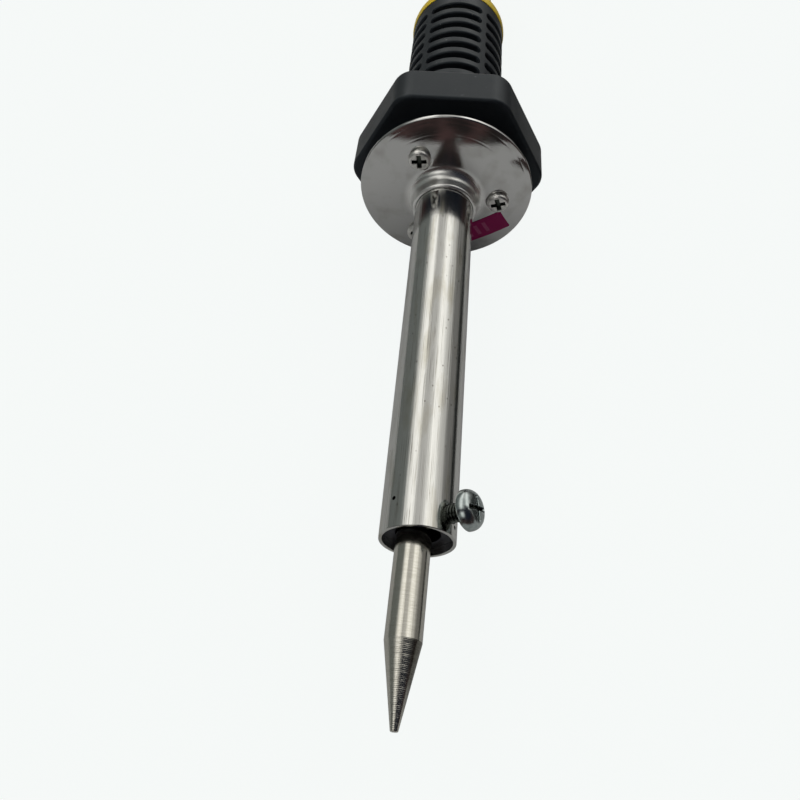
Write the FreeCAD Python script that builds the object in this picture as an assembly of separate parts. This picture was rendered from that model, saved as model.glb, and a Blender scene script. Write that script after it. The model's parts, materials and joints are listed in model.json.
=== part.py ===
import FreeCAD, Part
import math
import os

# Soldering iron with a clamped pencil bit, a polished barrel and flange, a hexagonal guard,
# a slotted vent cage, and a waisted grip. Millimetres.
# While a piece is made its axis is the Y axis, and "station" is the distance along it from the
# barrel's mouth, growing towards the grip. place() then moves it into the part's frame: +Z up,
# +Y from the bit to the grip, origin at the middle of the guard's lowest flat.
# Angles around the axis run from +X towards +Z.

V = FreeCAD.Vector
AXIS = V(0, 1, 0)

# ---- driving dimensions ----
guard_across_flats = 49.2
guard_front = 115.3
guard_length = 12.5
guard_corner_r = 6.5
guard_edge_r = 0.9
guard_mid = guard_front + guard_length / 2
axis_height = guard_across_flats / 2

barrel_r = 8.0
barrel_bore_r = 7.25
barrel_end = 112.0
barrel_lip_r = 0.2
fit_gap = 0.03              # between pieces of one body that are pressed or slid together

collar_front = 1.8
collar_end = 9.0
bit_bore_r = 4.75
stake_marks = ((6.5, 131.7), (2.4, 23.0))    # station and angle of the two dimples that hold the collar
stake_r = 0.45

bit_r = 3.7
bit_cone_start = -20.2
bit_point = -36.0
bit_point_r = 0.75
bit_tail = 46.0
bit_tail_chamfer = 0.6
bit_offset = (-0.8, -0.3)   # X and Z of the bit's axis at the mouth: the set screw pushes it aside
bit_lean = (0.0167, 0.0083)  # X and Z gained per millimetre towards the grip

set_screw_station = 4.8
set_screw_angle = 34.0
set_screw_tip = 3.02
set_screw_r = 2.0
set_screw_length = 8.0
set_screw_head_r = 4.25
set_screw_head_h = 3.0
set_screw_head_rounding = 1.9
set_screw_hole_r = 2.1       # the clearance hole in the barrel
set_screw_recess = (3.0, 2.6, 1.0, 1.1)   # half length of its two arms, their width, and depth
set_screw_recess_turn = 16.0
tapped_gap = 0.05

core_tube_wall = 0.4
inner_mica_r = (5.2, 5.45)
winding_r = 5.65
winding_wire_r = 0.18
winding_pitch = 2.4
winding_span = (16.0, 85.6)
outer_mica_r = (5.88, 6.1)
mica_span = (12.0, 91.0)
bush_span = (93.0, 104.0)
bush_groove = (97.0, 99.0)
lead_x = 6.5
lead_r = 0.3
lead_starts = (86.5, 14.0)
sleeve_r = (1.1, 0.4)       # outside and bore of the sleeving on the leads
sleeve_span = (112.3, 184.0)

flange_thickness = 0.8
dish_r = 59.0               # radius of the dish in section
dish_centre = (3.82, 163.04)  # radius and station of the centre of that arc
dish_edge_angle = 20.0
neck_r = 8.9
neck_top = 99.4
neck_fillet = 3.0
rim_roll_r = 0.45
rim_land = 0.35

flange_screw_circle = 15.0
flange_screw_angles = (0.0, 120.0, 240.0)
flange_screw_r = 1.45
flange_screw_head_r = 3.05
flange_screw_head_h = 1.7
flange_screw_head_rounding = 0.75
flange_screw_seat = 104.9
flange_screw_end = 125.0
flange_screw_recess = (2.05, 1.3, 1.3)    # half length and width of an arm, and depth
flange_screw_turns = (18.0, 5.0, 70.0)    # how far each recess is turned

washer_r = (12.5, 18.5)
washer_back = 109.0

label_size = (16.0, 7.4)
label_centre = (10.7, -11.0)
label_turn = 29.0
label_thickness = 0.12

boss_r = 19.0
guard_web_end = 120.0
cage_r = 15.2
cage_bore_r = 12.9
cage_flange_r = 18.0
cage_web = (2.0, 10.0)      # thickness of the web across the cage's front, and its hole's radius
cage_end = 187.5
slot_first = 135.05
slot_pitch = 5.71
slot_rows = 9
slot_width = 2.8
slot_edge_r = 0.6           # rounding of the ribs between slots
slot_columns = 5
slot_sweep = 66.0
slot_end_r = 1.3            # rounding of a slot's corners
slot_turn = 3.5             # the columns stand this far round from the guard's flats

grip_end = 262.0
grip_bore_r = 8.2
grip_spigot_r = cage_bore_r - fit_gap
grip_spigot_front = 181.5
grip_chamber_r = 10.6
grip_chamber_end = 198.5
grip_collar_r = 15.4
grip_outline = (            # radius and station along the outside, from the collar to the tail
    (15.6, 188.9), (15.1, 191.8), (13.5, 195.2), (12.0, 199.8), (11.0, 207.0), (10.9, 215.0),
    (11.7, 227.0), (12.9, 240.0), (13.3, 249.0), (12.6, 257.0), (11.3, 261.2))

block_half = (9.4, 4.2)
block_span = (184.5, 197.5)
pole_x = (-lead_x, 0.0, lead_x)
ferrule_r = (1.9, 1.15)
ferrule_inset = 0.4
terminal_screw_stations = (187.6, 194.4)
terminal_screw_r = 1.15
terminal_screw_top = 3.9
terminal_well_r = 1.3

earth_tag_span = (104.6, 114.6)
earth_tag_half_width = 2.0
earth_tag_thickness = 0.45
earth_lead_r = 0.9

inlet_r = 3.75
cap_r = 11.0
cap_plug_r = 9.0
cap_plug_front = 250.0
cap_end = 268.0
tongue_front = 234.0
tongue_r = 7.9
channel_r = inlet_r
clamp_gap = 1.2
clamp_span = (238.0, 246.0)
clamp_screw_x = 5.0
clamp_screw_r = 1.15
clamp_screw_head = (1.7, 3.0, 4.1)   # head radius, and its lower and upper height
clamp_screw_tip = -5.0


# ---- helpers ----
def rod(radius, start, end, x=0.0, z=0.0):
    """A round bar along the axis, at x, z beside it."""
    return Part.makeCylinder(radius, end - start, V(x, start, z), AXIS)


def tube(outer, inner, start, end, x=0.0, z=0.0):
    return rod(outer, start, end, x, z).cut(rod(inner, start - 1, end + 1, x, z))


def face_of(edges):
    return Part.Face(Part.Wire(edges))


def outline(points):
    """Straight edges through (radius, station) points, closed."""
    corners = [V(r, s, 0) for r, s in points]
    return Part.makePolygon(corners + corners[:1])


def turned(points):
    """The solid that a closed outline of (radius, station) points makes round the axis."""
    return Part.Face(outline(points)).revolve(V(0, 0, 0), AXIS, 360)


def around(shape, angle):
    turned_copy = shape.copy()
    turned_copy.rotate(V(0, 0, 0), AXIS, -angle)
    return turned_copy


def on_circle(radius, angle):
    a = math.radians(angle)
    return radius * math.cos(a), radius * math.sin(a)


def block(x0, x1, s0, s1, z0, z1):
    return Part.makeBox(x1 - x0, s1 - s0, z1 - z0, V(x0, s0, z0))


def dish_point(angle, depth=0.0):
    """The point of the dish where its slope is angle, depth below its front surface."""
    a = math.radians(angle)
    r = dish_r - depth
    return V(dish_centre[0] + r * math.sin(a), dish_centre[1] - r * math.cos(a), 0)


def dish_slope_at(radius, depth=0.0):
    return math.degrees(math.asin((radius - dish_centre[0]) / (dish_r - depth)))


def place(shape):
    placed = shape.copy()
    placed.translate(V(0, -guard_mid, axis_height))
    return placed


def save(name, shape):
    placed = place(shape)
    placed.exportStep(os.path.join("parts", name + ".step"))
    print(name, len(placed.Solids), "solids", round(placed.Volume, 1), "mm3", placed.isValid())


# ---- the bit and its clamping screw ----
def make_bit():
    profile = (
        (0, bit_point), (bit_point_r, bit_point), (bit_r, bit_cone_start),
        (bit_r, bit_tail - bit_tail_chamfer), (bit_r - bit_tail_chamfer, bit_tail), (0, bit_tail))
    bit = turned(profile)
    direction = V(bit_lean[0], 1, bit_lean[1])
    bit.Placement = FreeCAD.Placement(
        V(bit_offset[0], 0, bit_offset[1]), FreeCAD.Rotation(AXIS, direction))
    return bit


def radial(radius, start, end):
    """A round bar along the set screw's own axis, between two distances from the barrel's axis."""
    x, z = on_circle(1.0, set_screw_angle)
    return Part.makeCylinder(
        radius, end - start, V(x * start, set_screw_station, z * start), V(x, 0, z))


def make_set_screw():
    under_head = set_screw_tip + set_screw_length
    top = under_head + set_screw_head_h
    shank = radial(set_screw_r, set_screw_tip, under_head)
    shank = shank.makeChamfer(0.5, [e for e in shank.Edges if near_tip(e)])
    head = radial(set_screw_head_r, under_head, top)
    rims = [e for e in head.Edges if abs(radial_distance(e) - top) < 0.01]
    head = head.makeFillet(set_screw_head_rounding, rims)
    long_arm, short_arm, width, depth = set_screw_recess
    half = width / 2
    slot = block(-long_arm, long_arm, -half, half, top - depth, top + 1)
    cross = block(-half, half, -short_arm, short_arm, top - depth, top + 1)
    recess = slot.fuse(cross)
    recess.rotate(V(0, 0, 0), V(0, 0, 1), set_screw_recess_turn)
    recess.rotate(V(0, 0, 0), AXIS, 90 - set_screw_angle)
    recess.translate(V(0, set_screw_station, 0))
    return shank.fuse(head).cut(recess)


def radial_distance(edge):
    x, z = on_circle(1.0, set_screw_angle)
    centre = edge.BoundBox.Center
    return centre.x * x + centre.z * z


def near_tip(edge):
    return abs(radial_distance(edge) - set_screw_tip) < 0.01


# ---- barrel and heating element ----
def stake(station, angle):
    x, z = on_circle(1.0, angle)
    start = barrel_bore_r - 0.4
    return Part.makeCylinder(stake_r, 2.0, V(x * start, station, z * start), V(x, 0, z))


def make_barrel():
    barrel = tube(barrel_r, barrel_bore_r, 0, barrel_end)
    mouth = [e for e in barrel.Edges if abs(e.BoundBox.YMax) < 0.01 and e.BoundBox.XMax > 7.9]
    barrel = barrel.makeFillet(barrel_lip_r, mouth)
    barrel = barrel.cut(radial(set_screw_hole_r, 5.0, 10.0))
    for station, angle in stake_marks:
        barrel = barrel.cut(stake(station, angle))
    return barrel


def make_front_collar():
    collar = tube(barrel_bore_r - fit_gap, bit_bore_r, collar_front, collar_end)
    collar = collar.cut(radial(set_screw_r + tapped_gap, 3.0, 9.0))
    for station, angle in stake_marks:
        collar = collar.cut(stake(station, angle))
    return collar


def make_core_tube():
    return tube(bit_bore_r + core_tube_wall, bit_bore_r, collar_end, bush_groove[0])


def make_winding():
    start, end = winding_span
    helix = Part.makeHelix(winding_pitch, end - start, winding_r)
    section = Part.Wire(Part.makeCircle(winding_wire_r, V(winding_r, 0, 0), V(0, 0, 1)))
    spring = Part.Wire(helix)
    spring.rotate(V(0, 0, 0), V(1, 0, 0), -90)
    coil = spring.makePipeShell([section], True, True)
    coil.translate(V(0, start, 0))
    return coil


def make_rear_bush():
    bush = rod(barrel_bore_r - fit_gap, bush_span[0], bush_span[1])
    bush = bush.cut(rod(bit_bore_r + core_tube_wall + fit_gap, bush_span[0] - 1, bush_groove[0]))
    bush = bush.cut(rod(bit_bore_r, bush_groove[0] - 1, bush_groove[1]))
    for x in (-lead_x, lead_x):
        bush = bush.cut(rod(lead_r + 0.1, bush_span[0] - 1, bush_span[1] + 1, x))
    return bush


def make_sleeves():
    outer, inner = sleeve_r
    start, end = sleeve_span
    return Part.makeCompound([tube(outer, inner, start, end, x) for x in (-lead_x, lead_x)])


# ---- flange, its screws, washer and label ----
def unit(angle):
    """A direction in the section that leans angle from straight forward towards the rim."""
    a = math.radians(angle)
    return V(math.sin(a), -math.cos(a), 0)


def hollow_arc(centre, radius, slope):
    """The concave arc from the neck to where the dish has that slope."""
    points = [centre - radius * unit(a) for a in (90, (90 + slope) / 2, slope)]
    return Part.Arc(*points).toShape(), points[0], points[2]


def flange_section():
    t = flange_thickness
    edge = dish_edge_angle
    x = neck_r + neck_fillet
    reach = dish_r + neck_fillet
    y = dish_centre[1] - math.sqrt(reach ** 2 - (x - dish_centre[0]) ** 2)
    slope = math.degrees(math.asin((x - dish_centre[0]) / reach))
    front, front_start, front_end = hollow_arc(V(x, y, 0), neck_fillet, slope)
    back, back_start, back_end = hollow_arc(V(x, y, 0), neck_fillet + t, slope)
    lip_centre = V(neck_r - t, neck_top + t, 0)
    lip = [lip_centre + t * unit(a) for a in (0, 45, 90)]
    rim_centre = dish_point(edge, rim_roll_r)
    rim = [rim_centre + rim_roll_r * unit(a) for a in (edge, 45 + edge / 2, 90)]
    rim_back = rim[2] + V(0, rim_land, 0)
    middle = (slope + edge) / 2
    return [
        Part.Arc(*lip).toShape(),
        Part.makeLine(lip[2], front_start),
        front,
        Part.Arc(front_end, dish_point(middle), rim[0]).toShape(),
        Part.Arc(*rim).toShape(),
        Part.makeLine(rim[2], rim_back),
        Part.makeLine(rim_back, dish_point(edge, t)),
        Part.Arc(dish_point(edge, t), dish_point(middle, t), back_end).toShape(),
        back,
        Part.makeLine(back_start, lip[0])]


def make_flange():
    flange = face_of(flange_section()).revolve(V(0, 0, 0), AXIS, 360)
    for angle in flange_screw_angles:
        x, z = on_circle(flange_screw_circle, angle)
        seat = rod(flange_screw_head_r + 0.2, neck_top, flange_screw_seat, x, z)
        flange = flange.cut(seat).cut(screw_hole(angle))
    return flange


def screw_hole(angle, gap=0.15):
    """A cutter for one flange screw's shank."""
    x, z = on_circle(flange_screw_circle, angle)
    return rod(flange_screw_r + gap, flange_screw_seat - 5, flange_screw_end + 1, x, z)


def make_flange_screws():
    screws = []
    top = flange_screw_seat - flange_screw_head_h
    for angle, turn in zip(flange_screw_angles, flange_screw_turns):
        x, z = on_circle(flange_screw_circle, angle)
        head = rod(flange_screw_head_r, top, flange_screw_seat, x, z)
        crown = [e for e in head.Edges if abs(e.BoundBox.YMax - top) < 0.01]
        head = head.makeFillet(flange_screw_head_rounding, crown)
        screw = head.fuse(rod(flange_screw_r, flange_screw_seat, flange_screw_end, x, z))
        arm, width, depth = flange_screw_recess
        half = width / 2
        across = block(-arm, arm, top - 1, top + depth, -half, half)
        along = block(-half, half, top - 1, top + depth, -arm, arm)
        recess = around(across.fuse(along), turn)
        recess.translate(V(x, 0, z))
        screws.append(screw.cut(recess))
    return Part.makeCompound(screws)


def make_washer():
    inner, outer = washer_r
    t = flange_thickness
    a0 = dish_slope_at(inner, t)
    a1 = dish_slope_at(outer, t)
    edges = [
        Part.Arc(dish_point(a0, t), dish_point((a0 + a1) / 2, t), dish_point(a1, t)).toShape(),
        Part.makeLine(dish_point(a1, t), V(outer, washer_back, 0)),
        Part.makeLine(V(outer, washer_back, 0), V(inner, washer_back, 0)),
        Part.makeLine(V(inner, washer_back, 0), dish_point(a0, t))]
    washer = face_of(edges).revolve(V(0, 0, 0), AXIS, 360)
    for angle in flange_screw_angles:
        washer = washer.cut(screw_hole(angle))
    return washer


def make_label(flange):
    length, height = label_size
    sheet = block(-length / 2, length / 2, neck_top + 2, washer_back, -height / 2, height / 2)
    sheet.rotate(V(0, 0, 0), AXIS, -label_turn)
    sheet.translate(V(label_centre[0], 0, label_centre[1]))
    raised = flange.copy()
    raised.translate(V(0, -label_thickness, 0))
    return sheet.common(raised).cut(flange)


# ---- guard and cage ----
def make_guard():
    apothem = guard_across_flats / 2
    corner = apothem / math.cos(math.radians(30))
    corners = [on_circle(corner, 60 * k) for k in range(6)]
    loop = [V(x, guard_front, z) for x, z in corners]
    hexagon = Part.Face(Part.makePolygon(loop + loop[:1])).extrude(V(0, guard_length, 0))
    hexagon = hexagon.makeFillet(
        guard_corner_r, [e for e in hexagon.Edges if e.BoundBox.YLength > guard_length - 0.1])
    ends = [e for e in hexagon.Edges if e.BoundBox.YLength < 0.01]
    hexagon = hexagon.makeFillet(guard_edge_r, ends)
    guard = hexagon.fuse(rod(boss_r, washer_back, guard_front + 1))
    guard = guard.cut(rod(barrel_r + 0.2, washer_back - 1, guard_web_end + 1))
    guard = guard.cut(rod(cage_flange_r + fit_gap, guard_web_end, guard_front + guard_length + 1))
    for angle in flange_screw_angles:
        guard = guard.cut(screw_hole(angle))
    return guard


def make_cage():
    web, web_hole = cage_web
    flange_end = guard_front + guard_length
    cage = rod(cage_flange_r, guard_web_end, flange_end).fuse(rod(cage_r, flange_end - 1, cage_end))
    cage = cage.cut(rod(cage_bore_r, guard_web_end + web, cage_end + 1))
    cage = cage.cut(rod(web_hole, guard_web_end - 1, guard_web_end + web + 1))
    for angle in flange_screw_angles:
        cage = cage.cut(screw_hole(angle, fit_gap))
    return cage.cut(Part.makeCompound(vent_slots()))


def slot_section():
    """A slot's section: straight walls whose outer edges round over onto the cage."""
    half = slot_width / 2
    e = slot_edge_r
    inner = cage_bore_r - 1
    outer = cage_r + 1
    middle = e * math.cos(math.radians(45))
    low = Part.Arc(
        V(cage_r, -half - e, 0), V(cage_r - e + middle, -half - e + middle, 0),
        V(cage_r - e, -half, 0)).toShape()
    high = Part.Arc(
        V(cage_r - e, half, 0), V(cage_r - e + middle, half + e - middle, 0),
        V(cage_r, half + e, 0)).toShape()
    return [
        low,
        Part.makeLine(V(cage_r - e, -half, 0), V(inner, -half, 0)),
        Part.makeLine(V(inner, -half, 0), V(inner, half, 0)),
        Part.makeLine(V(inner, half, 0), V(cage_r - e, half, 0)),
        high,
        Part.makeLine(V(cage_r, half + e, 0), V(outer, half + e, 0)),
        Part.makeLine(V(outer, half + e, 0), V(outer, -half - e, 0)),
        Part.makeLine(V(outer, -half - e, 0), V(cage_r, -half - e, 0))]


def is_slot_corner(edge):
    """Whether an edge of a slot's cutter is one of its four corners through the cage's wall."""
    box = edge.BoundBox
    return box.YLength < 0.01 and abs(abs(box.YMin) - slot_width / 2) < 0.01 and edge.Length < cage_r / 2


def vent_slots():
    """Cutters for the vents: rows along the cage, columns round it, ribs left between them."""
    slots = []
    cutter = face_of(slot_section()).revolve(V(0, 0, 0), AXIS, slot_sweep)
    cutter = cutter.makeFillet(slot_end_r, [e for e in cutter.Edges if is_slot_corner(e)])
    for row in range(slot_rows):
        for column in range(slot_columns):
            centre = 90 + slot_turn + column * 360 / slot_columns
            slot = around(cutter, centre + slot_sweep / 2)
            slot.translate(V(0, slot_first + row * slot_pitch, 0))
            slots.append(slot)
    return slots


# ---- grip and what it holds ----
def make_grip():
    points = [V(r, s, 0) for r, s in grip_outline]
    side = Part.BSplineCurve()
    side.interpolate(points)
    first = V(grip_collar_r, cage_end, 0)
    last = points[-1]
    edges = [
        Part.makeLine(V(grip_bore_r, grip_chamber_end + 2.4, 0), V(grip_chamber_r, grip_chamber_end, 0)),
        Part.makeLine(V(grip_chamber_r, grip_chamber_end, 0), V(grip_chamber_r, grip_spigot_front, 0)),
        Part.makeLine(V(grip_chamber_r, grip_spigot_front, 0), V(grip_spigot_r, grip_spigot_front, 0)),
        Part.makeLine(V(grip_spigot_r, grip_spigot_front, 0), V(grip_spigot_r, cage_end, 0)),
        Part.makeLine(V(grip_spigot_r, cage_end, 0), first),
        Part.makeLine(first, points[0]),
        side.toShape(),
        Part.makeLine(last, V(last.x - 0.6, grip_end, 0)),
        Part.makeLine(V(last.x - 0.6, grip_end, 0), V(cap_plug_r + fit_gap, grip_end, 0)),
        Part.makeLine(V(cap_plug_r + fit_gap, grip_end, 0), V(cap_plug_r + fit_gap, cap_plug_front, 0)),
        Part.makeLine(V(cap_plug_r + fit_gap, cap_plug_front, 0), V(grip_bore_r, cap_plug_front, 0)),
        Part.makeLine(V(grip_bore_r, cap_plug_front, 0), V(grip_bore_r, grip_chamber_end + 2.4, 0))]
    return face_of(edges).revolve(V(0, 0, 0), AXIS, 360)


def make_terminal_block():
    half_x, half_z = block_half
    body = block(-half_x, half_x, block_span[0], block_span[1], -half_z, half_z)
    for x in pole_x:
        body = body.cut(rod(ferrule_r[0] + fit_gap, block_span[0] - 1, block_span[1] + 1, x))
        for station in terminal_screw_stations:
            well = Part.makeCylinder(terminal_well_r, half_z + 1, V(x, station, 0), V(0, 0, 1))
            body = body.cut(well)
    return body


def make_ferrules():
    ferrules = []
    for x in pole_x:
        start = block_span[0] + ferrule_inset
        end = block_span[1] - ferrule_inset
        ferrule = tube(ferrule_r[0], ferrule_r[1], start, end, x)
        for station in terminal_screw_stations:
            hole = Part.makeCylinder(terminal_screw_r + fit_gap, 5, V(x, station, 0), V(0, 0, 1))
            ferrule = ferrule.cut(hole)
        ferrules.append(ferrule)
    return Part.makeCompound(ferrules)


def make_terminal_screws():
    """Each screw stops on the wire under it: a lead's or, in the middle pole, the earth lead's."""
    top = terminal_screw_top
    screws = []
    for x in pole_x:
        tip = earth_lead_r if x == 0.0 else lead_r + 0.04
        for station in terminal_screw_stations:
            screw = Part.makeCylinder(
                terminal_screw_r, top - tip, V(x, station, tip), V(0, 0, 1))
            slot = block(x - 2, x + 2, station - 0.25, station + 0.25, top - 0.6, top + 1)
            screws.append(screw.cut(slot))
    return Part.makeCompound(screws)


def make_earth_tag():
    outer = barrel_bore_r - fit_gap
    ring = tube(outer, outer - earth_tag_thickness, earth_tag_span[0], earth_tag_span[1])
    width = earth_tag_half_width
    return ring.common(block(-width, width, earth_tag_span[0], earth_tag_span[1], -9, 0))


def make_earth_lead():
    start = V(0, earth_tag_span[1] - 4.0, -(barrel_bore_r - earth_tag_thickness - earth_lead_r - 0.1))
    bend = V(0, block_span[0] - 8.0, 0)
    end = V(0, terminal_screw_stations[0] + 2.0, 0)
    first = Part.makeCylinder(earth_lead_r, (bend - start).Length, start, bend - start)
    second = Part.makeCylinder(earth_lead_r, (end - bend).Length, bend, end - bend)
    knee = Part.makeSphere(earth_lead_r, bend)
    return first.fuse(second).fuse(knee).removeSplitter()


def make_end_cap():
    dome = rod(cap_r, grip_end, cap_end)
    back = [e for e in dome.Edges if abs(e.BoundBox.YMin - cap_end) < 0.01]
    dome = dome.makeFillet(4.2, back)
    plug = rod(cap_plug_r, cap_plug_front, grip_end)
    tongue = rod(tongue_r, tongue_front, cap_plug_front)
    tongue = tongue.cut(block(-20, 20, tongue_front - 1, cap_plug_front, -clamp_gap, 20))
    cap = dome.fuse(plug).fuse(tongue).cut(rod(inlet_r, tongue_front - 1, cap_end + 1))
    station = sum(clamp_span) / 2
    for x in (-clamp_screw_x, clamp_screw_x):
        hole = Part.makeCylinder(
            clamp_screw_r + fit_gap, 6, V(x, station, clamp_screw_tip - 0.3), V(0, 0, 1))
        cap = cap.cut(hole)
    return cap


def make_cord_clamp():
    start, end = clamp_span
    bar = rod(tongue_r, start, end).cut(block(-20, 20, start - 1, end + 1, -20, clamp_gap))
    bar = bar.cut(rod(channel_r, start - 1, end + 1))
    station = (start + end) / 2
    head_r, head_low, _ = clamp_screw_head
    for x in (-clamp_screw_x, clamp_screw_x):
        bar = bar.cut(Part.makeCylinder(clamp_screw_r + 0.1, 12, V(x, station, 0), V(0, 0, 1)))
        bar = bar.cut(Part.makeCylinder(head_r + 0.1, 12, V(x, station, head_low), V(0, 0, 1)))
    return bar


def make_clamp_screws():
    head_r, head_low, head_high = clamp_screw_head
    station = sum(clamp_span) / 2
    screws = []
    for x in (-clamp_screw_x, clamp_screw_x):
        shank = Part.makeCylinder(
            clamp_screw_r, head_low - clamp_screw_tip, V(x, station, clamp_screw_tip), V(0, 0, 1))
        head = Part.makeCylinder(head_r, head_high - head_low, V(x, station, head_low), V(0, 0, 1))
        slot = block(x - 3, x + 3, station - 0.25, station + 0.25, head_high - 0.5, head_high + 1)
        screws.append(shank.fuse(head).cut(slot))
    return Part.makeCompound(screws)


def main():
    os.makedirs("parts", exist_ok=True)
    flange = make_flange()
    pieces = {
        "bit": make_bit(),
        "set_screw": make_set_screw(),
        "barrel": make_barrel(),
        "front_collar": make_front_collar(),
        "core_tube": make_core_tube(),
        "inner_mica": tube(inner_mica_r[1], inner_mica_r[0], mica_span[0], mica_span[1]),
        "heating_winding": make_winding(),
        "outer_mica": tube(outer_mica_r[1], outer_mica_r[0], mica_span[0], mica_span[1]),
        "rear_bush": make_rear_bush(),
        "lead_wire_right": rod(lead_r, lead_starts[0], terminal_screw_stations[0] + 2, lead_x),
        "lead_wire_left": rod(lead_r, lead_starts[1], terminal_screw_stations[0] + 2, -lead_x),
        "lead_sleeves": make_sleeves(),
        "flange": flange,
        "flange_screws": make_flange_screws(),
        "rating_label": make_label(flange),
        "heat_washer": make_washer(),
        "hex_guard": make_guard(),
        "vent_cage": make_cage(),
        "earth_tag": make_earth_tag(),
        "earth_lead": make_earth_lead(),
        "grip": make_grip(),
        "terminal_block": make_terminal_block(),
        "terminal_ferrules": make_ferrules(),
        "terminal_screws": make_terminal_screws(),
        "end_cap": make_end_cap(),
        "cord_clamp": make_cord_clamp(),
        "cord_clamp_screws": make_clamp_screws(),
    }
    for name, shape in pieces.items():
        save(name, shape)


main()
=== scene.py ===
import bpy
import json
import math
from mathutils import Matrix, Vector


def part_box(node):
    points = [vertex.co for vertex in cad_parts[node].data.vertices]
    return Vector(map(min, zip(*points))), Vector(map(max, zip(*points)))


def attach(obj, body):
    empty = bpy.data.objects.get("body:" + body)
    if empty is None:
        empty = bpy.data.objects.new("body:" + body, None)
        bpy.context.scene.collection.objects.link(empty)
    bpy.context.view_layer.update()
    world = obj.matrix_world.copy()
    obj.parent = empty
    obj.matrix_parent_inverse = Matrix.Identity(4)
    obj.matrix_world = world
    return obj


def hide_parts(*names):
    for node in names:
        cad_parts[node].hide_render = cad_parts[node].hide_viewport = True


# Soldering iron. The frame gives metres; the pieces below are worked out in millimetres,
# in the same way as the CAD: "station" is the distance from the barrel's mouth towards the
# grip, and angles round the axis run from +X towards +Z.

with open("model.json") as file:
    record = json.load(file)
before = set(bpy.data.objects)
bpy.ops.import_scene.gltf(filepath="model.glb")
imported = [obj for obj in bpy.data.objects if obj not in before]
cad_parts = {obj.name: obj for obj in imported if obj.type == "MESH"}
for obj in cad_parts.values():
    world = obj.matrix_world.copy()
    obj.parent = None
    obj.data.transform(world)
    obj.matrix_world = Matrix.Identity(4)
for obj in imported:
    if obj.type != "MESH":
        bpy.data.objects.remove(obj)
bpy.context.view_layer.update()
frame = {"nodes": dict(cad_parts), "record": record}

MM = 0.001
barrel_low, barrel_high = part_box("barrel")
mouth_y = barrel_low.y
axis_z = (barrel_low.z + barrel_high.z) / 2
AXIS_FRAME = Matrix.Translation((0, mouth_y, axis_z)) @ Matrix.Scale(MM, 4)

# ---- sizes, in millimetres ----
barrel_r = 8.0
barrel_bore_r = 7.25
barrel_end = 112.0
mouth_rounding = 0.2
stake_marks = ((6.5, 131.7), (2.4, 23.0))      # station and angle
stake_r = 0.45

bit_r = 3.7
bit_cone_start = -20.2
bit_point = -36.0
bit_point_r = 0.75
bit_tail = 46.0
bit_offset = (-0.8, -0.3)
bit_lean = (0.0167, 0.0083)
turning_pitch = 0.31
turning_depth = 0.016

screw_station = 4.8
screw_angle = 34.0
screw_tip = 3.02
screw_shank_r = 2.0
screw_underhead = 11.02
screw_hole_r = 2.1
screw_head_r = 4.25
screw_head_h = 3.0
screw_head_rounding = 1.9
screw_recess = (3.0, 2.6, 0.5, 1.1)            # half length of its two arms, half width, and depth
screw_recess_turn = -16.0
screw_recess_wall = 0.16                       # width of the slope down into the recess
screw_head_crown = 0.35
screw_pitch = 0.7
screw_thread_depth = 0.42

dish_r = 59.0
dish_centre = (3.82, 163.04)
dish_edge_angle = 20.0
flange_thickness = 0.8
neck_r = 8.9
neck_top = 99.4
neck_fillet = 3.0
rim_roll_r = 0.45
rim_land = 0.35
press_rings = ((19.7, 0.008), (22.9, 0.012))    # radius and depth
press_ring_width = 0.22
lip_notches = 38
lip_notch_depth = 0.05

flange_screw_circle = 15.0
flange_screw_angles = (0.0, 120.0, 240.0)
flange_screw_turns = (18.0, 5.0, 70.0)          # how far each cross recess is turned
flange_screw_seat = 104.9
flange_screw_head_r = 3.05
flange_screw_head_h = 1.7
flange_screw_head_rounding = 0.75
flange_screw_head_crown = 0.12
flange_screw_r = 1.45
flange_screw_shank = 3.0                        # only the first part is made: the boss hides the rest
flange_screw_recess = (2.05, 0.66, 1.3)         # half length and half width of an arm, and depth
flange_screw_recess_wall = 0.22

label_size = (16.0, 7.4)
label_centre = (10.7, -11.0)
label_turn = 29.0
label_thickness = 0.12
label_corner = 0.5
label_bars = (-3.2, -0.6, 2.0)                  # middles of the plain bars along the label
label_bar_span = (-2.0, 2.2)


# ---- mesh helpers ----
def smoothstep(low, high, value):
    t = min(max((value - low) / (high - low), 0.0), 1.0)
    return t * t * (3 - 2 * t)


def soften(corners, steps=6):
    """(radius, station, rounding) corners as a run of points, with an arc at each rounded one."""
    points = []
    count = len(corners)
    for i, (r, s, rounding) in enumerate(corners):
        corner = Vector((r, s))
        if rounding == 0:
            points.append((r, s))
            continue
        before = (Vector(corners[i - 1][:2]) - corner).normalized()
        after = (Vector(corners[(i + 1) % count][:2]) - corner).normalized()
        half = before.angle(after) / 2
        centre = corner + (before + after).normalized() * rounding / math.sin(half)
        start = corner + before * rounding / math.tan(half) - centre
        end = corner + after * rounding / math.tan(half) - centre
        for k in range(steps + 1):
            arm = start.slerp(end, k / steps).normalized() * start.length
            points.append(tuple(centre + arm))
    return points


def arc(centre, radius, start, end, steps):
    """Points on an arc; an angle is measured from straight forward towards the rim."""
    points = []
    for k in range(steps + 1):
        a = math.radians(start + (end - start) * k / steps)
        points.append((centre[0] + radius * math.sin(a), centre[1] - radius * math.cos(a)))
    return points


def even(start, end, step):
    """Points from start up to end, at most step apart, without the last one."""
    span = Vector(end) - Vector(start)
    count = max(1, math.ceil(span.length / step))
    return [tuple(Vector(start) + span * k / count) for k in range(count)]


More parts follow.
